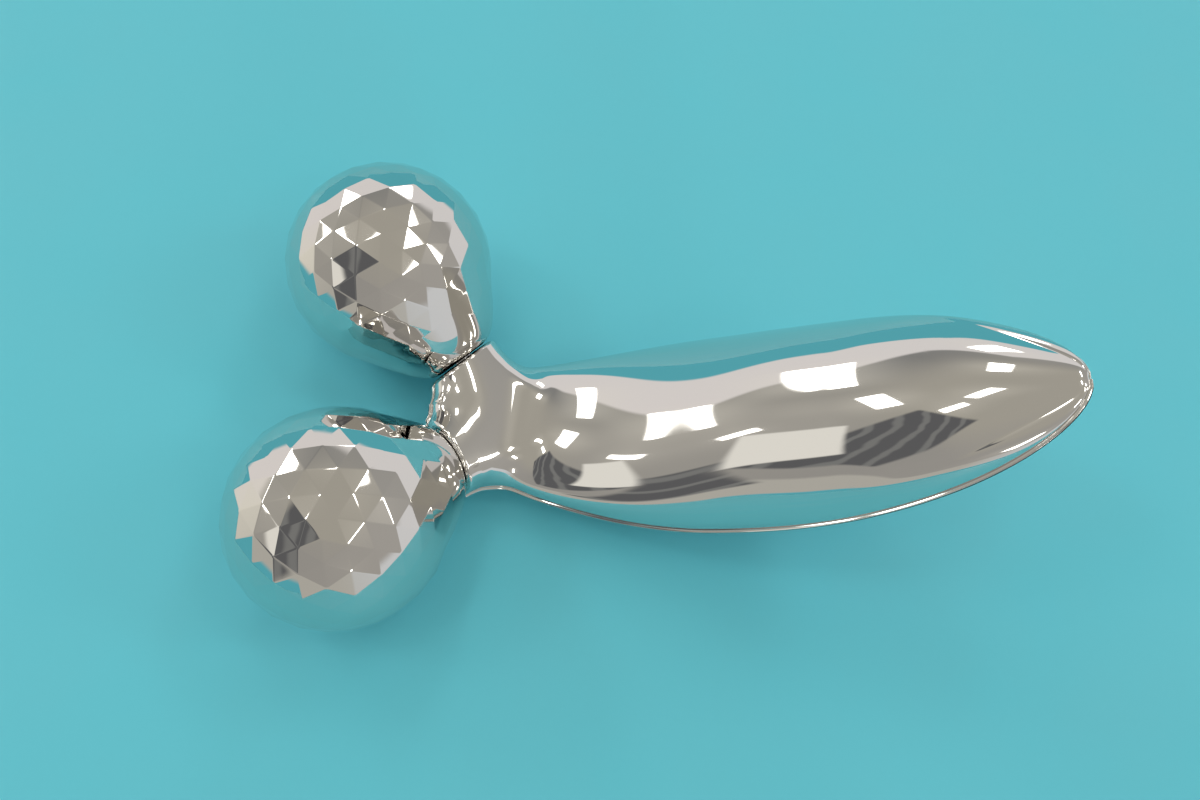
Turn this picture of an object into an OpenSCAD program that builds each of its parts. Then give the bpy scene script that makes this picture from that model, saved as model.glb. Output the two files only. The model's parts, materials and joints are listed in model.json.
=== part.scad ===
// Facial toning roller: two faceted balls spin on the arms of a Y-shaped, leaf-shaped handle.
// It lies as it rests: on both balls and on the belly of the handle, with the tip raised.
// Millimetres, +X towards the tip, +Y towards the left ball, +Z up.

/* [Rollers] */
// Diameter of each ball over the corners of its facets
ball_d = 40; // [36:1:44]
// Free gap between the two balls, where the skin is pinched
ball_gap = 11.8; // [9:0.2:14]
// Facet rows along one edge of the ball's base solid
facet_rows = 5; // [4:1:6]
// Turn of the facets about the axle
facet_turn = 14; // [0:1:72]
// Wall of the faceted ball shell
ball_wall = 2.4; // [2:0.1:3]
// Distance from ball centre to the mouth of the shell, where the smooth collar starts
collar_start = 11; // [9:0.5:12.5]
// Distance from ball centre to the rim of the collar
collar_reach = 23.2; // [22.4:0.2:24]
// Radius of the collar at its rim
collar_rim_r = 5.6; // [5:0.1:6.4]
// Depth of the collar's spigot in the mouth of the shell
spigot_h = 1.5; // [1:0.1:2]

/* [Axles] */
// Half of the opening angle between the two axles
fork_angle = 39; // [36:1:42]
// Diameter of each axle
axle_d = 5; // [4.4:0.2:5.4]
// Distance from the inner end of each axle to the root of its arm
axle_root_gap = 8.75; // [8.5:0.05:9]
// Length of axle beyond the ball centre, inside the ball
axle_nose = 8.6; // [8:0.2:9.4]
// Thickness of the retaining ring on each axle
ring_t = 0.8; // [0.6:0.1:1]
// Thickness of the thrust washer between ring and bush
washer_t = 0.8; // [0.6:0.1:1]
// Outer diameter of the seal round each axle, in the end of the arm
axle_seal_d = 9; // [8.4:0.2:9.4]
// Outer diameter of the yoke's sockets for the axles
socket_d = 9.2; // [8.6:0.2:9.6]
// Outer diameter of the bearing bush
bush_d = 9; // [8:0.2:10]
// Length of the bearing bush
bush_len = 21; // [18:0.5:22]

/* [Handle] */
// Distance from the line between the balls to the tip, along the parting line
handle_len = 139.6; // [133:0.2:146]
// Width of the neck between fork and grip
neck_w = 22.2; // [20.4:0.2:24]
// Greatest width of the grip
grip_w = 39; // [37:0.5:41]
// Width of the blunt nose at the tip
nose_w = 2.6; // [2:0.2:4]
// Width of each fork arm
arm_w = 14.4; // [13.6:0.2:15.6]
// Height of the fork arms above the parting line
arm_top = 6.6; // [6.4:0.1:7.4]
// Depth of the fork arms below the parting line
arm_drop = 8.2; // [7.6:0.1:8.6]
// Height of the grip above the parting line
grip_top = 16.9; // [16:0.1:17.8]
// Depth of the grip below the parting line
grip_drop = 9.8; // [9.2:0.1:10.4]
// Share of the half width between the middle and the crease, where the crease starts
face_share = 0.86; // [0.8:0.01:0.9]
// Share of the half width between the middle and the crease at the tip
tip_face_share = 0.65; // [0.6:0.01:0.75]
// Height of the crease as a share of the full height
crease_share = 0.54; // [0.46:0.01:0.64]
// Wall of the two handle shells
shell_wall = 1.6; // [1.4:0.1:1.8]
// Thickness of the seal between the shells
seal_t = 0.4; // [0.3:0.05:0.6]

/* [Side profile] */
// Slope of the fork from the balls down to the neck
fork_slope = 27; // [24:1:30]
// Lead of the neck bend ahead of the fork's root, along the slope
bend_lead = 6.8; // [6.2:0.1:7.4]
// Radius of the bend at the neck
neck_bend_r = 22.6; // [21:0.2:24]
// Slope of the parting line after the neck bend
heel_slope = 9; // [7:0.5:11]
// Radius of the long bend of the grip
grip_bend_r = 98.6; // [92:0.2:110]
// Slope of the parting line at the tip
tip_slope = 45.5; // [42:0.5:49]

/* [Window] */
// Place of window and board along the parting line
window_s = 72; // [68:1:76]
// Length of the window lens
window_l = 24; // [20:1:26]
// Width of the window lens
window_w = 12; // [10:0.5:13]
// Thickness of the window lens
window_t = 1.4; // [1.2:0.1:1.8]
// Thickness of the gasket under the lens
gasket_t = 0.4; // [0.3:0.05:0.5]
// Width of the ledge that carries the lens
ledge_w = 1.5; // [1.2:0.1:1.8]
// Thickness of the solar cell
cell_t = 0.8; // [0.6:0.1:1]

/* [Electronics] */
// Length of the circuit board
board_l = 36; // [32:1:38]
// Width of the circuit board
board_w = 14; // [12:0.5:15]
// Thickness of the circuit board
board_t = 1; // [0.8:0.1:1.2]
// Thickness of the tray that carries the board
tray_t = 1.2; // [1:0.1:1.6]
// Height of the stand-offs between tray and board
standoff_h = 1; // [0.8:0.1:1.2]
// Thickness of the control chip
chip_t = 1.4; // [1:0.1:1.8]
// Height of the capacitor
capacitor_h = 3; // [2.4:0.1:3.2]
// Diameter of the small screws
screw_d = 1.6; // [1.4:0.1:1.8]

/* [Fits] */
// Radial running clearance between axle and bush
run_clear = 0.05; // [0.02:0.01:0.08]
// Play of the ball along its axle
end_play = 0.2; // [0.1:0.05:0.3]
// Gap of a glued or seated joint
seat_gap = 0.05; // [0.03:0.01:0.1]
// Gap between a turning and a fixed piece
turn_gap = 0.4; // [0.3:0.05:0.6]

/* [Hidden] */
$fn = 96;

ball_r = ball_d / 2;
axle_r = axle_d / 2;
half_gap = (ball_d + ball_gap) / 2;
fork_dir = [cos(fork_angle), -sin(fork_angle)];
fork_out = [sin(fork_angle), cos(fork_angle)];
fork_root = half_gap / tan(fork_angle);
fork_len = fork_root - bend_lead;

// Side profile of the parting surface: a straight fork, two tangent bends and a straight tip
bend_a = neck_bend_r * (fork_slope + heel_slope) * PI / 180;
bend_b = grip_bend_r * (tip_slope - heel_slope) * PI / 180;
function slope_at(s) =
    s < fork_len ? -fork_slope :
    s < fork_len + bend_a ? -fork_slope + (s - fork_len) / neck_bend_r * 180 / PI :
    s < fork_len + bend_a + bend_b ? heel_slope + (s - fork_len - bend_a) / grip_bend_r * 180 / PI :
    tip_slope;
function arc_step(r, from, to) = r * [sin(to) - sin(from), cos(from) - cos(to)];
fork_end = [fork_len * cos(fork_slope), ball_r - fork_len * sin(fork_slope)];
heel = fork_end + arc_step(neck_bend_r, -fork_slope, heel_slope);
blade = heel + arc_step(grip_bend_r, heel_slope, tip_slope);
function profile_at(s) =
    s < fork_len ? [s * cos(fork_slope), ball_r - s * sin(fork_slope)] :
    s < fork_len + bend_a ? fork_end + arc_step(neck_bend_r, -fork_slope, slope_at(s)) :
    s < fork_len + bend_a + bend_b ? heel + arc_step(grip_bend_r, heel_slope, slope_at(s)) :
    blade + (s - fork_len - bend_a - bend_b) * [cos(tip_slope), sin(tip_slope)];
tip_at = profile_at(handle_len);
origin_x = (tip_at[0] - ball_r) / 2;

// A point given by its place along the profile, its side offset and its height off the profile
function spot(s, y, n) =
    let (p = profile_at(s), a = slope_at(s))
    [p[0] - n * sin(a) - origin_x, y, p[1] + n * cos(a)];

// Plan form of the handle, unrolled along the profile
swell_run = 42;
neck_lead = 6;
wide_s = fork_root + swell_run;
neck_s = fork_root - neck_lead;
tip_power = 2.75;
tip_round = 0.64;
function ease(t) = let (u = min(1, max(0, t))) u * u * (3 - 2 * u);
function mix(a, b, t) = a + (b - a) * t;
function rise(s, from, to) = ease((s - from) / (to - from));
function tip_share(s) = min(1, max(0, (s - wide_s) / (handle_len - wide_s)));
function half_w(s) =
    s < neck_s ? neck_w / 2 :
    s < wide_s ? mix(neck_w, grip_w, sin(90 * (s - neck_s) / (wide_s - neck_s))) / 2 :
    mix(nose_w, grip_w, pow(1 - pow(tip_share(s), tip_power), tip_round)) / 2;

// Field that is 0 on the outline and 1 on the middle of a limb, inset by d
cap_lead = 2;
cap_s = fork_root - cap_lead;
cap_len = 16.5;
web_blend = 1.2;
arm_root = fork_root / cos(fork_angle);
function grip_field(p, d) =
    1 - pow(p[1] / (half_w(p[0]) - d), 2) - pow(max(0, cap_s - p[0]) / (cap_len - d), 2);
function arm_field(p, side, d) =
    let (q = [p[0], side * p[1] - half_gap],
         past_root = q * fork_dir > arm_root,
         off = past_root ? norm(q - fork_dir * arm_root) : q * fork_out)
    1 - pow(off / (arm_w / 2 - d), 2);
function soft_max(a, b) = max(a, b) + pow(max(web_blend - abs(a - b), 0), 2) / (4 * web_blend);
function form_field(p, d) =
    soft_max(grip_field(p, d), soft_max(arm_field(p, 1, d), arm_field(p, -1, d)));
// Distance from p along dir to the outline, by halving
function reach(p, dir, d, lo = 0, hi = half_gap, n = 22) =
    n == 0 ? lo :
    let (m = (lo + hi) / 2, inside = form_field(p + m * dir, d) > 0)
    reach(p, dir, d, inside ? m : lo, inside ? hi : m, n - 1);

// Heights over the plan form
edge_h = 0.7;
rest_gap = 0.05;
neck_drop = fork_end[1] - neck_bend_r * (1 - cos(fork_slope)) - rest_gap;
neck_low = fork_len + 0.8 * bend_a;
swell_lead = 4;
swell_lag = 2;
belly_run = 28;
round_run = 10;
crease_lag = 22;
crease_run = 32;
narrow_lag = 44;
swell_from = fork_root - swell_lead;
swell_to = wide_s + swell_lag;
belly_to = fork_root + belly_run;
round_to = fork_root + round_run;
crease_from = wide_s + crease_lag;
crease_to = crease_from + crease_run;
narrow_from = wide_s + narrow_lag;
tip_top = 1.3;
tip_drop = 1.1;
arm_corner = 1.5;
top_corner = 0.92;
drop_corner = 1;
face_power = 2.2;
wall_power = 1.6;
top_power = 2.8;
drop_power = 2.2;
function top_h(s) =
    s < wide_s ? mix(arm_top, grip_top, rise(s, swell_from, swell_to)) :
    mix(tip_top, grip_top, 1 - pow(tip_share(s), top_power));
function drop_h(s) =
    s < neck_low ? mix(arm_drop, neck_drop, rise(s, fork_len / 2, neck_low)) :
    s < wide_s ? mix(neck_drop, grip_drop, rise(s, neck_low, belly_to)) :
    mix(tip_drop, grip_drop, 1 - pow(tip_share(s), drop_power));
function face_w(s) = mix(face_share, tip_face_share, rise(s, narrow_from, handle_len));
function corner(s, grip_corner) = mix(arm_corner, grip_corner, rise(s, neck_s, round_to));
function round_share(g, e) = sqrt(max(0, 1 - pow(max(0, 1 - g), e)));
// Share of the height at w, the distance from the middle as a share of the half width
function creased_share(w, c) =
    w < c ? 1 - (1 - crease_share) * pow(w / c, face_power) :
    crease_share * sqrt(max(0, 1 - pow((w - c) / (1 - c), wall_power)));
function drop_share(p, d) = round_share(max(0, form_field(p, d)), corner(p[0], drop_corner));
function top_share(p, d) =
    let (g = max(0, form_field(p, d)), s = p[0])
    mix(round_share(g, corner(s, top_corner)), creased_share(sqrt(max(0, 1 - g)), face_w(s)),
        rise(s, crease_from, crease_to));
function top_at(p, d) = edge_h + (top_h(p[0]) - edge_h - d) * top_share(p, d);
function drop_at(p, d) = edge_h + (drop_h(p[0]) - edge_h - d) * drop_share(p, d);

// Rows of the half plan: [inner point, outer point, share of even spacing]
arm_rows = 8;
fan_rows = 10;
grip_rows = 20;
cols = 10;
crease_col = 6;
arm_crowding = 1.6;
tip_crowding = 1.35;
fan_s = fork_root + 10;
arm_end = collar_reach + turn_gap;
function rows(d) =
    let (crotch = fork_root - reach([fork_root, 0], [-1, 0], d),
         ball = [0, half_gap],
         a_crotch = ([crotch, 0] - ball) * fork_dir)
    concat(
        [for (i = [0:arm_rows - 1])
            let (p = ball + mix(arm_end + d, a_crotch, 1 - pow(1 - i / arm_rows, arm_crowding)) * fork_dir)
            [p - fork_out * reach(p, -fork_out, d), p + fork_out * reach(p, fork_out, d), 1]],
        [for (i = [0:fan_rows - 1])
            let (t = i / fan_rows, p = [mix(crotch, fan_s, pow(t, arm_crowding)), 0],
                 a = mix(90 - fork_angle, 90, ease(t)), dir = [cos(a), sin(a)])
            [p, p + dir * reach(p, dir, d), 1 - t]],
        [for (i = [0:grip_rows])
            let (s = mix(fan_s, handle_len - d, 1 - pow(1 - i / grip_rows, tip_crowding)))
            [[s, 0], [s, max(nose_w / 4, half_w(s) - d)], 0]]);
// Columns crowd towards the outline, and one of them follows the crease
function column(row, j) =
    let (turn = asin(face_w(row[0][0])),
         a = j < crease_col ? turn * j / crease_col :
             turn + (90 - turn) * (j - crease_col) / (cols - crease_col),
         f = mix(sin(a), (1 - cos(180 * j / cols)) / 2, row[2]))
    mix(row[0], row[1], f);

// Closed form of the handle, inset by d: an upper and a lower surface over the same plan
module handle_form(d) {
    table = rows(d);
    last = len(table) - 1;
    half = (last + 1) * (cols + 1);
    function place(n, side) =
        [for (row = table) for (j = [0:cols])
            let (p = column(row, j)) spot(p[0], side * p[1], n > 0 ? top_at(p, d) : -drop_at(p, d))];
    // Number of a point; both sides share the points on the middle plane
    function id(layer, side, i, j) =
        let (shared = j == 0 && i >= arm_rows)
        layer * 2 * half + (side < 0 && !shared ? half : 0) + i * (cols + 1) + j;
    function quad(p, flip) =
        flip ? [[p[0], p[2], p[1]], [p[0], p[3], p[2]]] : [[p[0], p[1], p[2]], [p[0], p[2], p[3]]];
    function patch(layer, side, i, j) =
        [id(layer, side, i, j), id(layer, side, i + 1, j),
         id(layer, side, i + 1, j + 1), id(layer, side, i, j + 1)];
    function edge_wall(side, i, j) =
        [id(0, side, i, j), id(0, side, i + 1, j), id(1, side, i + 1, j), id(1, side, i, j)];
    function end_wall(side, i, j) =
        [id(0, side, i, j), id(0, side, i, j + 1), id(1, side, i, j + 1), id(1, side, i, j)];
    function side_faces(side) =
        let (left = side > 0)
        concat(
            [for (i = [0:last - 1]) for (j = [0:cols - 1]) each quad(patch(1, side, i, j), left)],
            [for (i = [0:last - 1]) for (j = [0:cols - 1]) each quad(patch(0, side, i, j), !left)],
            [for (i = [0:last - 1]) each quad(edge_wall(side, i, cols), !left)],
            [for (i = [0:arm_rows - 1]) each quad(edge_wall(side, i, 0), left)],
            [for (j = [0:cols - 1]) each quad(end_wall(side, 0, j), !left)],
            [for (j = [0:cols - 1]) each quad(end_wall(side, last, j), left)]);
    polyhedron(concat(place(-1, 1), place(-1, -1), place(1, 1), place(1, -1)),
        concat(side_faces(1), side_faces(-1)), 4);
}

// Slab between two heights off the parting surface, across the whole handle
slab_w = 2 * half_gap;
slab_end = 6;
neck_steps = 6;
grip_steps = 20;
profile_stops = concat(
    [-slab_end],
    [for (i = [0:neck_steps]) fork_len + bend_a * i / neck_steps],
    [for (i = [1:grip_steps]) fork_len + bend_a + bend_b * i / grip_steps],
    [handle_len + slab_end]);
module parting_slab(low, high) {
    last = len(profile_stops) - 1;
    function at(i, n) = let (p = spot(profile_stops[i], 0, n)) [p[0], p[2]];
    rotate([90, 0, 0])
        linear_extrude(slab_w, center = true)
            polygon(concat([for (i = [0:last]) at(i, low)], [for (i = [last:-1:0]) at(i, high)]));
}

// Frames: the fork plane, one ball with +z along its axle to the neck, and the deck in the grip
module place_fork() {
    translate([-origin_x, 0, ball_r])
        rotate([0, fork_slope, 0])
            children();
}

module place_ball(side) {
    place_fork()
        translate([0, side * half_gap, 0])
            rotate([0, 0, -side * fork_angle])
                rotate([0, 90, 0])
                    children();
}

module place_deck() {
    translate(spot(window_s, 0, 0))
        rotate([0, -slope_at(window_s), 0])
            children();
}

cut = 1;
module tube(outer_r, inner_r, z, h) {
    translate([0, 0, z])
        difference() {
            cylinder(r = outer_r, h = h);
            translate([0, 0, -cut])
                cylinder(r = inner_r, h = h + 2 * cut);
        }
}

module rod(r, z, h) {
    translate([0, 0, z])
        cylinder(r = r, h = h);
}

// Plate with round corners
module plate(l, w, corner_r, z, h) {
    translate([0, 0, z])
        linear_extrude(h)
            union() {
                square([l - 2 * corner_r, w], center = true);
                square([l, w - 2 * corner_r], center = true);
                for (x = [-1, 1]) for (y = [-1, 1])
                    translate([x * (l / 2 - corner_r), y * (w / 2 - corner_r)])
                        circle(corner_r);
            }
}
// Rollers, in the frame of a ball
cavity_r = ball_r - ball_wall;
mouth_r = sqrt(pow(cavity_r, 2) - pow(collar_start, 2));
facet_dip = 0.3;
collar_foot_r = sqrt(pow(ball_r - facet_dip, 2) - pow(collar_start, 2));
collar_steps = 14;
core_top = collar_start - spigot_h - seat_gap;
bush_r = bush_d / 2;
nose_lip = 1.1;
groove_depth = 0.6;
groove_r = axle_r - groove_depth;
ring_band = 2.3;
ring_r = axle_r + ring_band;
ring_slot = 2.4;
washer_band = 3;
washer_r = axle_r + washer_band;
pocket_gap = 1.5;
pocket_r = washer_r + pocket_gap;
ring_z = nose_lip + seat_gap - axle_nose;
washer_z = ring_z + ring_t;
bush_z = washer_z + washer_t + end_play;
bush_end = bush_z + bush_len;
axle_end = arm_root - axle_root_gap;

// Faceted globe: an icosahedron with a corner on the axle, its faces cut into small triangles
golden = (1 + sqrt(5)) / 2;
corner_tilt = atan(1 / golden);
base_edge = 2;
same_edge = base_edge * 1.1;
base_points = [for (a = [-1, 1]) for (b = [-golden, golden]) each [[0, a, b], [a, b, 0], [b, 0, a]]];
function joined(a, b) = norm(a - b) < same_edge;
base_faces = [for (i = [0:9]) for (j = [i + 1:10]) for (k = [j + 1:11])
    let (a = base_points[i], b = base_points[j], c = base_points[k])
    if (joined(a, b) && joined(b, c) && joined(a, c)) [a, b, c]];
function on_globe(v) = ball_r * v / norm(v);
globe_points = [for (t = base_faces) for (u = [0:facet_rows]) for (v = [0:facet_rows - u])
    on_globe(u * t[0] + v * t[1] + (facet_rows - u - v) * t[2])];
module globe() {
    count = len(globe_points);
    rotate([0, 0, facet_turn])
        rotate([corner_tilt, 0, 0])
            hull()
                polyhedron(globe_points, [for (i = [0:3:count - 3]) [i, i + 1, i + 2]]);
}

function bezier(p, t) =
    pow(1 - t, 3) * p[0] + 3 * t * pow(1 - t, 2) * p[1] + 3 * t * t * (1 - t) * p[2] + pow(t, 3) * p[3];
collar_foot = [collar_foot_r, collar_start];
collar_rim = [collar_rim_r, collar_reach];
foot_pull = [-4, 5.8];
rim_pull = [4, -0.6];
collar_curve = [collar_foot, collar_foot + foot_pull, collar_rim + rim_pull, collar_rim];

module ball_shell() {
    difference() {
        globe();
        sphere(cavity_r);
        rod(ball_r, collar_start, ball_d);
    }
}

module ball_collar() {
    spigot_r = mouth_r - seat_gap;
    hub_wall = 1.6;
    hub_r = bush_r + hub_wall;
    relief_depth = 3;
    relief_top = collar_start + relief_depth;
    relief_wall = 5;
    relief_r = collar_foot_r - relief_wall;
    rotate_extrude()
        polygon(concat(
            [for (i = [0:collar_steps]) bezier(collar_curve, i / collar_steps)],
            [[axle_r + turn_gap, collar_reach],
             [axle_r + turn_gap, bush_end + seat_gap],
             [bush_r + seat_gap, bush_end + seat_gap],
             [bush_r + seat_gap, collar_start - spigot_h],
             [hub_r, collar_start - spigot_h],
             [hub_r, relief_top],
             [relief_r, relief_top],
             [relief_r, collar_start - spigot_h],
             [spigot_r, collar_start - spigot_h],
             [spigot_r, collar_start]]));
}

module ball_core() {
    difference() {
        sphere(cavity_r - seat_gap);
        rod(ball_r, core_top, ball_d);
        rod(bush_r + seat_gap, bush_z, ball_d);
        rod(pocket_r, -ball_d, ball_d + bush_z);
    }
}

module bush() {
    tube(bush_r, axle_r + run_clear, bush_z, bush_len);
}

module axle() {
    chamfer = 0.4;
    groove_z = ring_z - seat_gap;
    groove_top = groove_z + ring_t + 2 * seat_gap;
    rotate_extrude()
        polygon([
            [0, -axle_nose],
            [axle_r - chamfer, -axle_nose],
            [axle_r, chamfer - axle_nose],
            [axle_r, groove_z],
            [groove_r, groove_z],
            [groove_r, groove_top],
            [axle_r, groove_top],
            [axle_r, axle_end - chamfer],
            [axle_r - chamfer, axle_end],
            [0, axle_end]]);
}

module retaining_ring() {
    difference() {
        tube(ring_r, groove_r + seat_gap, ring_z, ring_t);
        translate([0, -ring_slot / 2, ring_z - cut])
            cube([ring_r + cut, ring_slot, ring_t + 2 * cut]);
    }
}

module thrust_washer() {
    tube(washer_r, axle_r + seat_gap, washer_z, washer_t);
}

// Fork, in the frame of a ball and in the fork plane
axle_seal_r = axle_seal_d / 2;
socket_r = socket_d / 2;
seal_lip = 0.6;
socket_z = arm_end + shell_wall + seal_lip;
socket_floor = 1;
socket_end = axle_end + socket_floor;
hub_setback = 2.5;
hub_s = fork_root - hub_setback;
hub_r = 6;
hub_top = 2.6;
hub_screw_step = 2.5;
hub_screws = [hub_s - hub_screw_step, hub_s + hub_screw_step];
screw_r = screw_d / 2;
head_lip = 0.7;
head_r = screw_r + head_lip;
head_h = 0.9;
head_room = 1.35;
hub_drop = neck_drop - shell_wall - head_room - head_h;
screw_grip = 2.6;
boss_wall = 1;
boss_r = screw_r + boss_wall;
boss_cap = 0.2;

module axle_hole(side) {
    place_ball(side)
        rod(axle_seal_r + seat_gap, arm_end - cut, shell_wall + seal_lip + 2 * cut);
}

module axle_seal() {
    tube(axle_seal_r, axle_r + seat_gap, arm_end, shell_wall + seal_lip);
}

// Screw with its head below z and its tip above
module screw(z, l) {
    rod(head_r, z - head_h, head_h);
    rod(screw_r, z, l);
}

module axle_yoke() {
    color("dimgray")
        difference() {
            union() {
                place_fork()
                    translate([hub_s, 0, 0])
                        rod(hub_r, -hub_drop, hub_drop + hub_top);
                for (side = [-1, 1])
                    place_ball(side)
                        rod(socket_r, socket_z, socket_end - socket_z);
            }
            for (side = [-1, 1])
                place_ball(side)
                    rod(axle_r + seat_gap, socket_z - cut, axle_end + seat_gap - socket_z + cut);
            place_fork()
                for (s = hub_screws)
                    translate([s, 0, 0])
                        rod(screw_r + seat_gap, -hub_drop - cut, hub_drop + hub_top + 2 * cut);
        }
}

module yoke_screws() {
    color("lightgray")
        place_fork()
            for (s = hub_screws)
                translate([s, 0, 0])
                    screw(-hub_drop, hub_drop + hub_top + screw_grip);
}

// Deck in the grip: window stack below, board and tray above; heights along the deck's own z
lens_sink = 1.3;
lens_r = 2;
lens_z = lens_sink - grip_drop;
gasket_z = lens_z + window_t;
ledge_z = gasket_z + gasket_t;
ledge_t = 1.2;
cell_z = ledge_z + ledge_t;
frame_w = 2;
hole_l = window_l - 2 * ledge_w;
hole_w = window_w - 2 * ledge_w;
tray_z = 1.2;
board_z = tray_z - standoff_h - board_t;
tray_end = 5;
tray_l = board_l + 2 * tray_end;
tray_rim = 2;
tray_w = board_w + 2 * tray_rim;
post_inset = 2.5;
post_x = tray_l / 2 - post_inset;
post_wall = 1.2;
post_r = screw_r + post_wall;
pin_r = 0.7;
pin_inset = [3, 2];
pin_x = board_l / 2 - pin_inset[0];
pin_y = board_w / 2 - pin_inset[1];
standoff_r = 1.3;
chip_x = 9;

module at_pins() {
    for (x = [-1, 1]) for (y = [-1, 1])
        translate([x * pin_x, y * pin_y, 0])
            children();
}

// Shells; the reach of the cutting slab is more than the height of the grip
shell_reach = grip_top + 1.5;
seal_inset = 0.35;

module shell_half(low, high) {
    intersection() {
        difference() {
            handle_form(0);
            handle_form(shell_wall);
        }
        parting_slab(low, high);
    }
}

// Bosses for the yoke's screws and posts for the board's screws, up into the middle of the wall
module bosses() {
    intersection() {
        union() {
            place_fork()
                for (s = hub_screws)
                    translate([s, 0, 0])
                        rod(boss_r, hub_top, shell_reach - hub_top);
            place_deck()
                for (x = [-post_x, post_x])
                    translate([x, 0, 0])
                        rod(post_r, tray_z + tray_t, shell_reach - tray_z - tray_t);
        }
        handle_form(shell_wall / 2);
    }
}

module upper_shell() {
    color("silver")
        difference() {
            union() {
                shell_half(seal_t / 2, shell_reach);
                bosses();
            }
            for (side = [-1, 1]) axle_hole(side);
            place_fork()
                for (s = hub_screws)
                    translate([s, 0, 0])
                        rod(screw_r + seat_gap, hub_top - cut, cut + screw_grip + boss_cap);
            place_deck()
                for (x = [-post_x, post_x])
                    translate([x, 0, 0])
                        rod(screw_r + seat_gap, tray_z, tray_t + screw_grip + boss_cap);
        }
}

module lower_shell() {
    color("silver")
        difference() {
            union() {
                shell_half(-shell_reach, -seal_t / 2);
                intersection() {
                    place_deck()
                        plate(window_l + 2 * frame_w, window_w + 2 * frame_w, lens_r + frame_w,
                            -shell_reach, shell_reach + cell_z);
                    handle_form(shell_wall / 2);
                }
            }
            for (side = [-1, 1]) axle_hole(side);
            place_deck() {
                plate(window_l + 2 * seat_gap, window_w + 2 * seat_gap, lens_r + seat_gap,
                    -shell_reach, shell_reach + ledge_z);
                plate(hole_l, hole_w, lens_r / 2, ledge_z - cut, ledge_t + 2 * cut);
            }
        }
}

module shell_seal() {
    color("black")
        difference() {
            intersection() {
                handle_form(seal_inset);
                parting_slab(-seal_t / 2, seal_t / 2);
            }
            handle_form(shell_wall);
            for (side = [-1, 1]) axle_hole(side);
        }
}

module window_lens() {
    color("midnightblue")
        place_deck()
            plate(window_l, window_w, lens_r, lens_z, window_t);
}

module window_gasket() {
    color("black")
        place_deck()
            difference() {
                plate(window_l, window_w, lens_r, gasket_z, gasket_t);
                plate(hole_l, hole_w, lens_r / 2, gasket_z - cut, gasket_t + 2 * cut);
            }
}

module solar_cell() {
    color("navy")
        place_deck()
            plate(window_l - ledge_w, window_w - ledge_w, lens_r / 2, cell_z, cell_t);
}

module cell_pad() {
    pad_l = 10;
    pad_w = 8;
    color("gray")
        place_deck()
            plate(pad_l, pad_w, lens_r / 2, cell_z + cell_t, board_z - cell_z - cell_t);
}

module circuit_board() {
    color("green")
        place_deck()
            difference() {
                plate(board_l, board_w, lens_r / 2, board_z, board_t);
                at_pins()
                    rod(pin_r + seat_gap, board_z - cut, board_t + 2 * cut);
            }
}

module control_chip() {
    chip_l = 5;
    color("black")
        place_deck()
            translate([chip_x, 0, 0])
                plate(chip_l, chip_l, 0.3, board_z - chip_t, chip_t);
}
module capacitor() {
    capacitor_r = 2.2;
    capacitor_x = -10;
    color("saddlebrown")
        place_deck()
            translate([capacitor_x, 0, 0])
                rod(capacitor_r, board_z - capacitor_h, capacitor_h);
}

module board_tray() {
    pin_tip = 0.4;
    color("white")
        place_deck()
            difference() {
                union() {
                    plate(tray_l, tray_w, lens_r, tray_z, tray_t);
                    at_pins() {
                        rod(standoff_r, tray_z - standoff_h, standoff_h + cut / 2);
                        rod(pin_r, board_z - pin_tip, tray_z - board_z + pin_tip + cut / 2);
                    }
                }
                for (x = [-post_x, post_x])
                    translate([x, 0, 0])
                        rod(screw_r + seat_gap, tray_z - cut, tray_t + 2 * cut);
            }
}

module board_screws() {
    color("lightgray")
        place_deck()
            for (x = [-post_x, post_x])
                translate([x, 0, 0])
                    screw(tray_z, tray_t + screw_grip);
}

module on_side(side, colour) {
    color(colour)
        place_ball(side)
            children();
}

upper_shell();
lower_shell();
shell_seal();
window_lens();
window_gasket();
solar_cell();
cell_pad();
circuit_board();
control_chip();
capacitor();
board_tray();
board_screws();
axle_yoke();
yoke_screws();
on_side(1, "lightgray") axle();  // left_axle
on_side(-1, "lightgray") axle();  // right_axle
on_side(1, "black") axle_seal();  // left_axle_seal
on_side(-1, "black") axle_seal();  // right_axle_seal
on_side(1, "lightgray") retaining_ring();  // left_retaining_ring
on_side(-1, "lightgray") retaining_ring();  // right_retaining_ring
on_side(1, "white") thrust_washer();  // left_thrust_washer
on_side(-1, "white") thrust_washer();  // right_thrust_washer
on_side(1, "silver") ball_shell();  // left_ball_shell
on_side(-1, "silver") ball_shell();  // right_ball_shell
on_side(1, "silver") ball_collar();  // left_ball_collar
on_side(-1, "silver") ball_collar();  // right_ball_collar
on_side(1, "gray") ball_core();  // left_ball_core
on_side(-1, "gray") ball_core();  // right_ball_core
on_side(1, "white") bush();  // left_bush
on_side(-1, "white") bush();  // right_bush
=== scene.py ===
import json
import math

import bmesh
import bpy
from mathutils import Euler, Matrix, Vector


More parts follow.
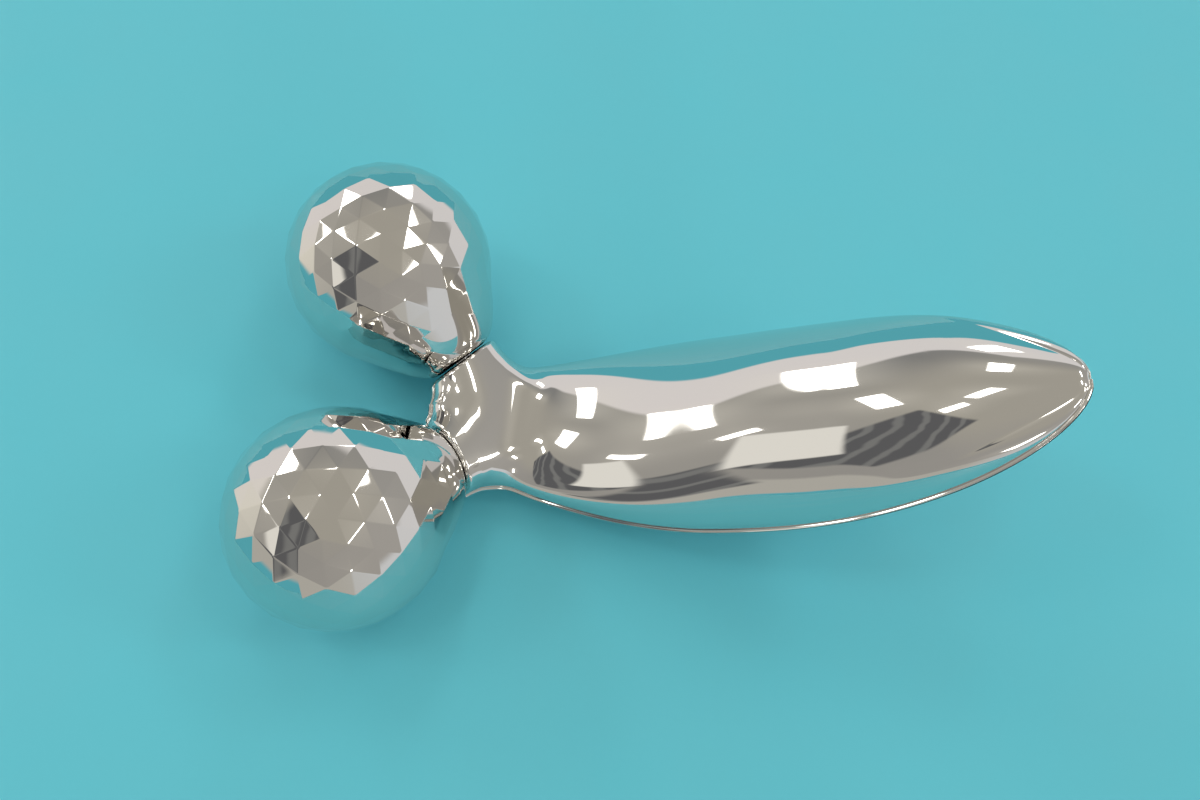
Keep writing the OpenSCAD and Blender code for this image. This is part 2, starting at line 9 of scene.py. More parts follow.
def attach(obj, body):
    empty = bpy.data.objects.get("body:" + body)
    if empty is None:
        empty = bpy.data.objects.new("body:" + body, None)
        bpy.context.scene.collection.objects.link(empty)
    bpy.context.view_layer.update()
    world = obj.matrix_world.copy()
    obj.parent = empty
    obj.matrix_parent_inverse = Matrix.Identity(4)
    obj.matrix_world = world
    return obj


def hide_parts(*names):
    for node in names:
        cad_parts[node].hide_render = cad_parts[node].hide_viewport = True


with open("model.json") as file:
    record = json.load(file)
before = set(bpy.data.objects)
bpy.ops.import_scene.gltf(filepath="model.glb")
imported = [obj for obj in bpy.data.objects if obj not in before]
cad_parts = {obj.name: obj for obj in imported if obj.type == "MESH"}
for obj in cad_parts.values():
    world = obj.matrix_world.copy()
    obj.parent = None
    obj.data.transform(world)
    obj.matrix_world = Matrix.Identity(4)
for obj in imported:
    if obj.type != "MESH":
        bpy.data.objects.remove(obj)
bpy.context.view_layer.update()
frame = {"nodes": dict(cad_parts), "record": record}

mm = 0.001
scene = bpy.context.scene
print("frame loaded:", len(frame["nodes"]), "nodes")

camera = {
    "place": (-14.83, -65.5364, 189.3257),  # mm, in the part's own frame
    "right": (0.99036767, 0.09577035, 0.1),
    "up": (-0.12603909, 0.9225439, 0.36473282),
    "lens": 28.5,
    "sensor": 36.0,
    "clip": 0.005,
}


def placeCamera():
    data = bpy.data.cameras.new("camera")
    data.lens = camera["lens"]
    data.sensor_width = camera["sensor"]
    data.clip_start = camera["clip"]
    obj = bpy.data.objects.new("camera", data)
    scene.collection.objects.link(obj)
    right = Vector(camera["right"]).normalized()
    up = Vector(camera["up"]).normalized()
    turn = Matrix((right, up, right.cross(up))).transposed()
    obj.matrix_world = Matrix.Translation(Vector(camera["place"]) * mm) @ turn.to_4x4()
    scene.camera = obj
    print("camera placed")


def newMaterial(name):
    material = bpy.data.materials.new(name)
    material.use_nodes = True
    tree = material.node_tree
    return material, tree.nodes, tree.links, tree.nodes["Principled BSDF"]


def noiseNode(nodes, links, scale, detail=3, rough=0.5):
    place = nodes.new("ShaderNodeTexCoord")
    noise = nodes.new("ShaderNodeTexNoise")
    noise.inputs["Scale"].default_value = scale
    noise.inputs["Detail"].default_value = detail
    noise.inputs["Roughness"].default_value = rough
    links.new(place.outputs["Object"], noise.inputs["Vector"])
    return noise


def remapNode(nodes, links, source, fromRange, toRange):
    # stretches one range of a noise to another
    remap = nodes.new("ShaderNodeMapRange")
    for name, limits in (("From", fromRange), ("To", toRange)):
        for end, value in zip(("Min", "Max"), limits):
            remap.inputs[name + " " + end].default_value = value
    links.new(source.outputs["Fac"], remap.inputs["Value"])
    return remap


def addBump(nodes, links, shader, source, depth):
    bump = nodes.new("ShaderNodeBump")
    bump.inputs["Strength"].default_value = 1.0
    bump.inputs["Distance"].default_value = depth
    links.new(source.outputs["Fac"], bump.inputs["Height"])
    links.new(bump.outputs["Normal"], shader.inputs["Normal"])


noiseMiddle = (0.3, 0.7)  # where nearly all of a noise's values lie
chromeLooks = {
    "handle_chrome": {
        "tint": (0.74, 0.73, 0.71),
        "hazeScale": 70,
        "roughness": (0.015, 0.045),
        "rippleScale": 60,
        "rippleDepth": 0.004,
        "smudgeScale": 45,
        "smudge": 0.1,
    },
    "ball_chrome": {
        "tint": (0.73, 0.715, 0.69),
        "hazeScale": 110,
        "roughness": (0.015, 0.04),
        "rippleScale": 240,
        "rippleDepth": 0.006,
        "smudgeScale": 90,
        "smudge": 0.04,
    },
}
smudgeEdge = (0.6, 0.75)  # the noise values between which a smudge fades in


def chromeMaterial(name, look):
    # bright plating: almost a mirror, with a faint haze and the slow ripple of a moulded surface
    material, nodes, links, shader = newMaterial(name)
    shader.inputs["Base Color"].default_value = (*look["tint"], 1)
    shader.inputs["Metallic"].default_value = 1.0
    haze = noiseNode(nodes, links, look["hazeScale"], 5, 0.6)
    smudge = noiseNode(nodes, links, look["smudgeScale"], 4, 0.7)
    spots = remapNode(nodes, links, smudge, smudgeEdge, (0.0, look["smudge"]))
    spots.interpolation_type = "SMOOTHSTEP"
    gloss = remapNode(nodes, links, haze, noiseMiddle, look["roughness"])
    total = nodes.new("ShaderNodeMath")
    links.new(gloss.outputs["Result"], total.inputs[0])
    links.new(spots.outputs["Result"], total.inputs[1])
    links.new(total.outputs["Value"], shader.inputs["Roughness"])
    ripple = noiseNode(nodes, links, look["rippleScale"], 1)
    addBump(nodes, links, shader, ripple, look["rippleDepth"] * mm)
    return material


grainLooks = {  # scale and depth are those of the grain, depth in mm
    "seal_rubber": {"color": (0.012, 0.012, 0.013), "mottle": 0.3, "rough": 0.6, "scale": 900, "depth": 0.01},
    "dark_window": {"color": (0.012, 0.012, 0.02), "mottle": 0.2, "rough": 0.08, "scale": 60, "depth": 0.001},
    "solar_cell": {"color": (0.03, 0.02, 0.07), "mottle": 0.4, "rough": 0.2, "scale": 300, "depth": 0.004},
    "foam": {"color": (0.1, 0.1, 0.1), "mottle": 0.4, "rough": 0.9, "scale": 1500, "depth": 0.1},
    "board_green": {"color": (0.02, 0.16, 0.06), "mottle": 0.25, "rough": 0.4, "scale": 500, "depth": 0.01},
    "chip_black": {"color": (0.02, 0.02, 0.02), "mottle": 0.2, "rough": 0.55, "scale": 1200, "depth": 0.01},
    "capacitor_brown": {"color": (0.2, 0.09, 0.035), "mottle": 0.2, "rough": 0.3, "scale": 400, "depth": 0.005},
    "inner_plastic": {"color": (0.72, 0.72, 0.7), "mottle": 0.05, "rough": 0.45, "scale": 600, "depth": 0.01},
    "screw_steel": {"color": (0.5, 0.5, 0.5), "mottle": 0.12, "rough": 0.3, "scale": 900, "depth": 0.006},
    "cast_alloy": {"color": (0.42, 0.42, 0.43), "mottle": 0.15, "rough": 0.5, "scale": 500, "depth": 0.03},
    "axle_steel": {"color": (0.55, 0.55, 0.56), "mottle": 0.08, "rough": 0.22, "scale": 700, "depth": 0.004},
    "core_plastic": {"color": (0.2, 0.2, 0.2), "mottle": 0.15, "rough": 0.5, "scale": 500, "depth": 0.02},
}
bareMetals = ("screw_steel", "cast_alloy", "axle_steel")
glossSpread = (0.85, 1.15)  # dullest and brightest spots, as shares of the roughness


def grainMaterial(name, look):
    # plastics, rubber and plain metals: mottled colour, uneven gloss and a fine grain
    material, nodes, links, shader = newMaterial(name)
    shader.inputs["Metallic"].default_value = 1.0 if name in bareMetals else 0.0
    grain = noiseNode(nodes, links, look["scale"], 5)
    blend = nodes.new("ShaderNodeMix")
    blend.data_type = "RGBA"
    links.new(grain.outputs["Fac"], blend.inputs["Factor"])
    tone, mottle = look["color"], look["mottle"]
    blend.inputs[6].default_value = (*[c * (1 - mottle) for c in tone], 1)
    blend.inputs[7].default_value = (*[min(1.0, c * (1 + mottle)) for c in tone], 1)
    links.new(blend.outputs[2], shader.inputs["Base Color"])
    roughness = [look["rough"] * share for share in glossSpread]
    gloss = remapNode(nodes, links, grain, noiseMiddle, roughness)
    links.new(gloss.outputs["Result"], shader.inputs["Roughness"])
    addBump(nodes, links, shader, grain, look["depth"] * mm)
    return material


finishes = {name: chromeMaterial(name, look) for name, look in chromeLooks.items()}
finishes.update({name: grainMaterial(name, look) for name, look in grainLooks.items()})


def dressCadNodes():
    # the pieces inside keep their solids and get a worked finish each
    for part in frame["record"]["subparts"]:
        obj = frame["nodes"][part["node"]]
        obj.data.materials.clear()
        obj.data.materials.append(finishes[part["material_slot"]])
    print("finishes on the CAD nodes")


def faceOutward(mesh):
    work = bmesh.new()
    work.from_mesh(mesh)
    bmesh.ops.recalc_face_normals(work, faces=work.faces)
    work.to_mesh(mesh)
    work.free()


def meshObject(name, points, faces, body, slot):
    mesh = bpy.data.meshes.new(name)
    mesh.from_pydata([Vector(p) * mm for p in points], [], faces)
    mesh.materials.append(finishes[slot])
    obj = bpy.data.objects.new(name, mesh)
    scene.collection.objects.link(obj)
    faceOutward(mesh)
    mesh.shade_smooth()
    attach(obj, body)
    return obj


def applyModifiers(obj):
    bpy.context.view_layer.update()
    graph = bpy.context.evaluated_depsgraph_get()
    mesh = bpy.data.meshes.new_from_object(obj.evaluated_get(graph))
    obj.modifiers.clear()
    obj.data = mesh


def bandFaces(low, high):
    # the faces between two closed rings of points
    count = len(low)
    following = [(n + 1) % count for n in range(count)]
    return [[low[n], low[m], high[m], high[n]] for n, m in enumerate(following)]


fork = {
    "ballRadius": 20.0,
    "halfGap": 25.9,  # ball centre to the middle plane
    "angle": math.radians(39),  # between an axle and the middle plane
    "slope": math.radians(27),  # the fork runs down from the balls
}
handle = {  # lengths in mm, places along the parting line are measured from the ball centres
    "originX": 48.6765,
    "length": 139.6,
    "bendLead": 6.8,  # the bend of the neck starts this far before the fork's root
    "neckBend": 22.6,
    "heelSlope": math.radians(9),
    "gripBend": 98.6,
    "tipSlope": math.radians(45.5),
    "neckLead": 6,  # the grip starts to widen this far before the fork's root
    "wideRun": 42,  # from the fork's root to the widest place
    "neckWidth": 22.2,
    "gripWidth": 39.0,
    "noseWidth": 2.6,
    "nosePowers": (2.75, 0.64),
    "armWidth": 14.4,
    "armEnd": 23.6,  # from the ball centre
    "armTop": 6.6,
    "armDrop": 8.2,
    "webBlend": 1.2,  # how softly the arms run into the neck
    "capLead": 2,
    "capLength": 16.5,
    "gripTop": 16.9,
    "tipTop": 1.3,
    "topPower": 2.8,
    "swellLead": 12,  # the back starts to rise this far before the fork's root
    "swellLag": 22,  # and keeps rising this far past the widest place
    "neckDrop": 6.0535,
    "neckLow": 0.8,  # where the belly is flattest, as a share of the neck's bend
    "gripDrop": 9.8,
    "bellyRun": 28,
    "tipDrop": 1.1,
    "dropPower": 2.2,
    "armCorner": 1.5,  # the corner powers say how full a cross-section is
    "topCorner": 0.92,
    "dropCorner": 1.0,
    "cornerRun": 10,
    "faceShare": (0.86, 0.65),  # crease at mid handle and at the tip, in half widths
    "faceLag": 44,
    "creaseShare": 0.54,  # height of the crease
    "creaseLag": 22,  # the crease appears over creaseRun, from this far past the widest place
    "creaseRun": 32,
    "creasePowers": (2.2, 1.6),
    "wall": 1.6,
    "edge": 0.7,
    "halvings": 26,  # of the search for the outline
}
forkDir = (math.cos(fork["angle"]), -math.sin(fork["angle"]))
forkOut = (-forkDir[1], forkDir[0])
forkRoot = fork["halfGap"] / math.tan(fork["angle"])
armRoot = forkRoot / forkDir[0]
forkLen = forkRoot - handle["bendLead"]
neckArc = handle["neckBend"] * (fork["slope"] + handle["heelSlope"])
gripArc = handle["gripBend"] * (handle["tipSlope"] - handle["heelSlope"])
wideS = forkRoot + handle["wideRun"]
neckS = forkRoot - handle["neckLead"]


def mix(a, b, t):
    return a + (b - a) * t


def stretch(s, low, high):
    return min(1.0, max(0.0, (s - low) / (high - low)))


def rise(s, low, high):
    u = stretch(s, low, high)
    return u * u * (3 - 2 * u)


def slowRise(s, low, high):
    # as rise, with no jump in the bend at either end, so that reflections run on without a kink
    u = stretch(s, low, high)
    return u ** 3 * (10 - 15 * u + 6 * u * u)


def slopeAt(s):
    if s < forkLen:
        return -fork["slope"]
    if s < forkLen + neckArc:
        return (s - forkLen) / handle["neckBend"] - fork["slope"]
    if s < forkLen + neckArc + gripArc:
        return (s - forkLen - neckArc) / handle["gripBend"] + handle["heelSlope"]
    return handle["tipSlope"]


def profileAt(s):
    # the parting line from the side: a straight fork, two bends and a straight tip
    a, run = -fork["slope"], min(s, forkLen)
    x, z = run * math.cos(a), fork["ballRadius"] + run * math.sin(a)
    for start, radius, low, high in (
        (forkLen, handle["neckBend"], -fork["slope"], handle["heelSlope"]),
        (forkLen + neckArc, handle["gripBend"], handle["heelSlope"], handle["tipSlope"]),
    ):
        if s > start:
            b = min(slopeAt(s), high)
            x += radius * (math.sin(b) - math.sin(low))
            z += radius * (math.cos(low) - math.cos(b))
    rest = max(0.0, s - forkLen - neckArc - gripArc)
    return x + rest * math.cos(handle["tipSlope"]), z + rest * math.sin(handle["tipSlope"])


def spot(s, y, n):
    # a point n off the parting surface
    x, z = profileAt(s)
    a = slopeAt(s)
    return Vector((x - n * math.sin(a) - handle["originX"], y, z + n * math.cos(a)))


def tipShare(s):
    return stretch(s, wideS, handle["length"])


def halfWidth(s):
    if s < wideS:
        t = math.sin(math.pi / 2 * max(0.0, s - neckS) / (wideS - neckS))
        return mix(handle["neckWidth"], handle["gripWidth"], t) / 2
    taper, blunt = handle["nosePowers"]
    return mix(handle["noseWidth"], handle["gripWidth"], (1 - tipShare(s) ** taper) ** blunt) / 2


def softMax(a, b):
    blend = handle["webBlend"]
    return max(a, b) + max(blend - abs(a - b), 0.0) ** 2 / (4 * blend)


def formField(s, y, inset):
    # 0 on the outline and 1 on the middle of a limb
    cap = max(0.0, forkRoot - handle["capLead"] - s) / (handle["capLength"] - inset)
    arms = []
    for side in (1, -1):
        q = (s, side * y - fork["halfGap"])
        along = q[0] * forkDir[0] + q[1] * forkDir[1]
        off = q[0] * forkOut[0] + q[1] * forkOut[1]
        if along > armRoot:
            off = math.hypot(q[0] - forkDir[0] * armRoot, q[1] - forkDir[1] * armRoot)
        arms.append(1 - (off / (handle["armWidth"] / 2 - inset)) ** 2)
    return softMax(1 - (y / (halfWidth(s) - inset)) ** 2 - cap ** 2, softMax(*arms))


def reach(p, way, inset):
    # how far the outline is from p
    low, high = 0.0, fork["halfGap"]
    for _ in range(handle["halvings"]):
        m = (low + high) / 2
        inside = formField(p[0] + m * way[0], p[1] + m * way[1], inset) > 0
        low, high = (m, high) if inside else (low, m)
    return low


def topHeight(s):
    share = slowRise(s, forkRoot - handle["swellLead"], wideS + handle["swellLag"])
    swell = mix(handle["armTop"], handle["gripTop"], share)
    return swell - (handle["gripTop"] - handle["tipTop"]) * tipShare(s) ** handle["topPower"]


def dropHeight(s):
    low = forkLen + handle["neckLow"] * neckArc
    if s < low:
        return mix(handle["armDrop"], handle["neckDrop"], rise(s, forkLen / 2, low))
    if s < wideS:
        share = rise(s, low, forkRoot + handle["bellyRun"])
        return mix(handle["neckDrop"], handle["gripDrop"], share)
    return mix(handle["tipDrop"], handle["gripDrop"], 1 - tipShare(s) ** handle["dropPower"])


def creaseAt(s):
    return mix(*handle["faceShare"], rise(s, wideS + handle["faceLag"], handle["length"]))


def roundShare(g, power):
    return math.sqrt(max(0.0, 1 - max(0.0, 1 - g) ** power))


def creasedShare(w, c):
    # a crowned face out to the crease c, and a rounded wall from there down to the seam
    facePower, wallPower = handle["creasePowers"]
    if w < c:
        return 1 - (1 - handle["creaseShare"]) * (w / c) ** facePower
    return handle["creaseShare"] * math.sqrt(max(0.0, 1 - ((w - c) / (1 - c)) ** wallPower))


def heightAt(s, y, inset, upper):
    g = max(0.0, formField(s, y, inset))
    grip = rise(s, neckS, forkRoot + handle["cornerRun"])
    if upper:
        full = topHeight(s)
        creaseFrom = wideS + handle["creaseLag"]
        sharp = creasedShare(math.sqrt(max(0.0, 1 - g)), creaseAt(s))
        rounded = roundShare(g, mix(handle["armCorner"], handle["topCorner"], grip))
        share = mix(rounded, sharp, rise(s, creaseFrom, creaseFrom + handle["creaseRun"]))
    else:
        full = dropHeight(s)
        share = roundShare(g, mix(handle["armCorner"], handle["dropCorner"], grip))
    return handle["edge"] + (full - handle["edge"] - inset) * share


shell = {
    "armRows": 12,
    "fanRows": 16,  # rows that turn from square to the arm to square to the grip
    "gripRows": 46,
    "columns": 16,
    "creaseColumn": 9,
    "rowPowers": (1.6, 1.6, 1.35),  # how rows crowd towards crotch, crotch and tip
    "fanRun": 10,  # the fan ends this far past the fork's root
    "creaseEdge": (32, 50),  # past the widest place the crease gets from soft to sharp
    "smooth": 2,
    "holeRadius": 4.55,
    "gap": 0.2,  # half of the seam
    "endShare": 0.88,  # an arm draws in to this share at its very end
    "endFace": 0.6,  # the first ring on an arm's end lies this far in towards the hole
    "upperLips": ((0.0, 0.42), (-0.12, 0.22), (-0.9, 0.2)),  # across the edge, off the seam
    "lowerLips": ((0.16, 0.5), (0.12, 0.24), (-0.9, 0.2)),
}


def planRows(inset):
    # rows of the half plan: inner point, outer point, share of even spacing
    armPower, fanPower, gripPower = shell["rowPowers"]
    crotch = forkRoot - reach((forkRoot, 0), (-1, 0), inset)
    alongCrotch = crotch * forkDir[0] - fork["halfGap"] * forkDir[1]
    fanEnd = forkRoot + shell["fanRun"]
    rows = []
    for i in range(shell["armRows"]):
        share = 1 - (1 - i / shell["armRows"]) ** armPower
        a = mix(handle["armEnd"] + inset, alongCrotch, share)
        p = (a * forkDir[0], fork["halfGap"] + a * forkDir[1])
        low, high = reach(p, (-forkOut[0], -forkOut[1]), inset), reach(p, forkOut, inset)
        ends = [(p[0] + k * forkOut[0], p[1] + k * forkOut[1]) for k in (-low, high)]
        rows.append((*ends, 1.0))
    for i in range(shell["fanRows"]):
        t = i / shell["fanRows"]
        p = (mix(crotch, fanEnd, t ** fanPower), 0.0)
        a = mix(math.pi / 2 - fork["angle"], math.pi / 2, rise(t, 0, 1))
        way = (math.cos(a), math.sin(a))
        far = reach(p, way, inset)
        rows.append((p, (p[0] + way[0] * far, way[1] * far), 1 - t))
    for i in range(shell["gripRows"] + 1):
        share = 1 - (1 - i / shell["gripRows"]) ** gripPower
        s = mix(fanEnd, handle["length"] - inset, share)
        width = max(handle["noseWidth"] / 4, halfWidth(s) - inset)
        rows.append(((s, 0.0), (s, width), 0.0))
    return rows


def planPoint(row, j):
    # column j of a row; on the grip one column follows the crease
    inner, outer, even = row
    turn = math.asin(creaseAt(inner[0]))
    h, last = shell["creaseColumn"], shell["columns"]
    a = turn * j / h if j < h else mix(turn, math.pi / 2, (j - h) / (last - h))
    f = mix(math.sin(a), (1 - math.cos(math.pi * j / last)) / 2, even)
    return mix(inner[0], outer[0], f), mix(inner[1], outer[1], f)


def skinPoints(rows, inset, upper, points):
    # adds one skin's points, keyed by side, row and column; both sides share the middle line
    sign, last = (1 if upper else -1), len(rows) - 1
    index = {}
    for i, row in enumerate(rows):
        for j in range(shell["columns"] + 1):
            s, y = planPoint(row, j)
            n = heightAt(s, y, inset, upper) if i < last else handle["edge"]
            if i == 0:
                n *= shell["endShare"]
                y = mix(row[0][1] + row[1][1], 2 * y, shell["endShare"]) / 2
                s = mix(row[0][0] + row[1][0], 2 * s, shell["endShare"]) / 2
            for side in (1, -1):
                if j == 0 and i >= shell["armRows"] and side < 0:
                    index[side, i, j] = index[1, i, j]
                    continue
                index[side, i, j] = len(points)
                points.append(spot(s, side * y, sign * n))
    return index


def skinFaces(index, last):
    faces = []
    for side in (1, -1):
        for i in range(last):
            for j in range(shell["columns"]):
                corners = ((i, j), (i + 1, j), (i + 1, j + 1), (i, j + 1))
                faces.append([index[side, *k] for k in corners])
    return faces


def rimKeys(last):
    # once round the form: seam, tip, seam, arm end, crotch and the other arm end
    rows, cols = shell["armRows"], shell["columns"]
    keys = [(1, i, cols) for i in range(last + 1)]
    keys += [(1, last, j) for j in range(cols - 1, -1, -1)]
    keys += [(-1, last, j) for j in range(1, cols)]
    keys += [(-1, i, cols) for i in range(last, -1, -1)]
    keys += [(-1, 0, j) for j in range(cols - 1, -1, -1)]
    keys += [(-1, i, 0) for i in range(1, rows)]
    keys += [(1, i, 0) for i in range(rows, 0, -1)]
    keys += [(1, 0, j) for j in range(cols)]
    return keys


def lipPoint(rows, keys, k, push, n):
    # a point by the seam, moved across the run of the rim by push and n off the parting surface
    side, i, j = keys[k]
    s, y = planPoint(rows[i], j)
    nearby = [keys[k - 1], keys[(k + 1) % len(keys)]]
    before, after = (planPoint(rows[key[1]], key[2]) for key in nearby)
    ds, dy = after[0] - before[0], after[1] - before[1]
    size = math.hypot(ds, dy) or 1.0
    return spot(s - dy / size * push, side * (y + ds / size * push), n)


def holePoint(side, j, upper, depth):
    # a point of the round hole in the end of an arm, depth further up the arm
    a = fork["slope"]
    centre = Vector((-handle["originX"], side * fork["halfGap"], fork["ballRadius"]))
    way = Vector((forkDir[0] * math.cos(a), side * forkDir[1], -forkDir[0] * math.sin(a)))
    across = Vector((forkOut[0] * math.cos(a), side * forkOut[1], -forkOut[0] * math.sin(a)))
    lift = Vector((math.sin(a), 0, math.cos(a))) * (1 if upper else -1)
    a = math.pi * j / shell["columns"]
    off = (math.sin(a) * lift - math.cos(a) * across) * shell["holeRadius"]
    off += lift * shell["gap"] * (1 - math.sin(a))
    return centre + way * (handle["armEnd"] + depth) + off


def rimRings(rows, keys, outer, upper, points):
    # three rings that turn the outer skin in to the seam and to the holes of the arms
    sign, rings = (1 if upper else -1), []
    for step, (push, n) in enumerate(shell["upperLips" if upper else "lowerLips"]):
        ring = []
        for k, (side, i, j) in enumerate(keys):
            if i > 0:
                place = lipPoint(rows, keys, k, push, sign * n)
            elif step == 0:
                hole = holePoint(side, j, upper, 0.0)
                place = points[outer[keys[k]]].lerp(hole, shell["endFace"])
            else:
                place = holePoint(side, j, upper, (step - 1) * handle["wall"])
            ring.append(len(points))
            points.append(place)
        rings.append(ring)
    return rings


def markCrease(mesh, outer, rows):
    # the crease sharpens towards the tip
    work = bmesh.new()
    work.from_mesh(mesh)
    layer = work.edges.layers.float.new("crease_edge")
    low, high = (wideS + run for run in shell["creaseEdge"])
    placeOf = {}
    for i in range(shell["armRows"] + shell["fanRows"], len(rows)):
        for side in (1, -1):
            placeOf[outer[side, i, shell["creaseColumn"]]] = rows[i][0][0]
    for edge in work.edges:
        a, b = (vert.index for vert in edge.verts)
        if a in placeOf and b in placeOf:
            edge[layer] = rise((placeOf[a] + placeOf[b]) / 2, low, high)
    work.to_mesh(mesh)
    work.free()


def buildShell(name, node, upper):
    rows, points = planRows(0.0), []
    last = len(rows) - 1
    outer = skinPoints(rows, 0.0, upper, points)
    inner = skinPoints(planRows(handle["wall"]), handle["wall"], upper, points)
    faces = skinFaces(outer, last) + skinFaces(inner, last)
    keys = rimKeys(last)
    previous = [outer[key] for key in keys]
    rings = rimRings(rows, keys, outer, upper, points)
    for ring in [*rings, [inner[key] for key in keys]]:
        faces += bandFaces(previous, ring)
        previous = ring

    obj = meshObject(name, points, faces, "handle", "handle_chrome")
    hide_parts(node)
    if upper:
        markCrease(obj.data, outer, rows)
    smooth = obj.modifiers.new("smooth", "SUBSURF")
    smooth.levels = smooth.render_levels = shell["smooth"]
    applyModifiers(obj)
    if not upper:
        cutWindow(obj)
    obj.data.shade_smooth()
    print(name, len(obj.data.polygons), "faces")


window = {
    "length": 24.1,
    "width": 12.1,
    "corner": 2.0,
    "cornerSteps": 6,
    "cut": (-4.0, 6.0),  # depth of the cut inside and outside the window's face
    "sharpFrom": math.radians(50),  # edges that turn more than this stay sharp
}


def cutWindow(obj):
    # a rounded oblong opening in the belly, square to the face of the window
    mount = next(m for m in frame["record"]["mounts"] if m["name"] == "window_face")
    out = Vector(mount["axis"]).normalized()
    across = Vector((0, 1, 0))
    along = across.cross(out)
    centre = Vector(mount["pos_m"])
    corner, steps = window["corner"], window["cornerSteps"]
    ring = []
    for turn, (u, v) in enumerate(((1, 1), (-1, 1), (-1, -1), (1, -1))):
        cornerU = (window["length"] / 2 - corner) * u
        cornerV = (window["width"] / 2 - corner) * v
        for k in range(steps + 1):
            a = math.pi / 2 * (turn + k / steps)
            ring.append((cornerU + corner * math.cos(a), cornerV + corner * math.sin(a)))
    points = []
    for depth in window["cut"]:
        points += [centre + (along * u + across * v + out * depth) * mm for u, v in ring]
    low, high = range(len(ring)), range(len(ring), 2 * len(ring))
    faces = [list(low)[::-1], list(high), *bandFaces(low, high)]
    mesh = bpy.data.meshes.new("cutter")
    mesh.from_pydata(points, [], faces)
    faceOutward(mesh)
    cutter = bpy.data.objects.new("cutter", mesh)
    scene.collection.objects.link(cutter)
    cut = obj.modifiers.new("window", "BOOLEAN")
    cut.object = cutter
    cut.solver = "EXACT"
    applyModifiers(obj)
    bpy.data.objects.remove(cutter)
    bpy.data.meshes.remove(mesh)
    work = bmesh.new()
    work.from_mesh(obj.data)
    for edge in work.edges:
        turnsBack = len(edge.link_faces) == 2 and edge.calc_face_angle(0.0) > window["sharpFrom"]
        edge.smooth = not turnsBack
    work.to_mesh(obj.data)
    work.free()
    print("window opening cut")


ball = {  # lengths in mm, heights along the axle from the ball's centre
    "radius": 20.0,
    "rows": 5,  # facets along one edge of the base solid
    "turns": {"left": (-137.05, 18.47, -76.78), "right": (-84.8, -33.98, -30.57)},
    "bevel": 0.2,  # half width of the rounded edge between two facets
    "crown": 0.15,  # how far a facet bulges, as a share of the angle to its neighbour
    "facetEnd": 15.6,  # facets whose middle lies higher up the ball give way to the smooth collar
    "skirt": 19.86,  # radius of the sphere that carries the collar on below its foot
    "foot": (16.343, 11.0),  # radius and height
    "footPull": (-4.0, 5.8),
    "rimPull": (4.0, -0.6),
    "rim": (5.6, 23.35),
    "rimRound": 0.25,
    "collarSpan": (-0.5, 0.97),  # the collar starts between these places of its curve
    "halvings": 24,
    "stride": 0.01,  # a corner is moved along the collar in such steps
    "climb": 0.98,  # and no farther than this
    "proud": 0.12,  # and stands out from it this far
    "bore": 2.9,
    "boreRound": 0.15,
    "cavity": 17.6,
    "cavityRings": 16,
    "cavityEnd": 0.02,  # the last ring of the cavity, an angle from the far pole
    "rings": 22,
    "split": 5,  # collar strips along each facet edge
}
longestEdge = 2.2  # the base solid's edges are 2 long


def baseSolid():
    golden = (1 + math.sqrt(5)) / 2
    pairs = [(a, b) for a in (-1, 1) for b in (-golden, golden)]
    corners = [Vector(q) for a, b in pairs for q in ((0, a, b), (a, b, 0), (b, 0, a))]
    near = []
    for p in corners:
        near.append({j for j, q in enumerate(corners) if 0 < (p - q).length < longestEdge})
    edges = [(i, j) for i in range(len(corners)) for j in near[i] if j > i]
    return corners, [(i, j, k) for i, j in edges for k in near[i] & near[j] if k > j]


def facetMesh(turn):
    # the base solid's faces cut into small triangles whose corners lie on the sphere
    corners, sides = baseSolid()
    rows, known, points, facets = ball["rows"], {}, [], []

    def corner(v):
        v = turn @ (v.normalized() * ball["radius"])
        key = tuple(round(c, 3) + 0.0 for c in v)
        if key not in known:
            known[key] = len(points)
            points.append(v)
        return known[key]

    steps = [(u, v) for u in range(rows + 1) for v in range(rows + 1 - u)]
    for side in sides:
        a, b, c = (corners[k] for k in side)
        grid = {(u, v): corner(a * u + b * v + c * (rows - u - v)) for u, v in steps}
        for u, v in steps:
            if u + v < rows:
                facets.append([grid[u, v], grid[u + 1, v], grid[u, v + 1]])
            if u + v < rows - 1:
                facets.append([grid[u + 1, v], grid[u + 1, v + 1], grid[u, v + 1]])
    for facet in facets:
        p, q, r = (points[k] for k in facet)
        if (q - p).cross(r - p).dot(p + q + r) < 0:
            facet.reverse()
    return points, facets


def collarCurve(u):
    # radius and height, and the way outward, from the foot at 0 to the rim at 1;
    # below 0 the collar runs back down the sphere
    p0, p3 = Vector(ball["foot"]), Vector(ball["rim"])
    if u < 0:
        a = math.atan2(p0.x, p0.y) - u
        way = Vector((math.sin(a), math.cos(a)))
        return way * ball["skirt"], way
    p1, p2 = p0 + Vector(ball["footPull"]), p3 + Vector(ball["rimPull"])
    v = 1 - u
    place = p0 * v ** 3 + p1 * 3 * u * v * v + p2 * 3 * u * u * v + p3 * u ** 3
    way = ((p1 - p0) * v * v + (p2 - p1) * 2 * u * v + (p3 - p2) * u * u).normalized()
    return place, Vector((way.y, -way.x))


def collarStart(height):
    low, high = ball["collarSpan"]
    for _ in range(ball["halvings"]):
        m = (low + high) / 2
        low, high = (m, high) if collarCurve(m)[0].y < height else (low, m)
    return low


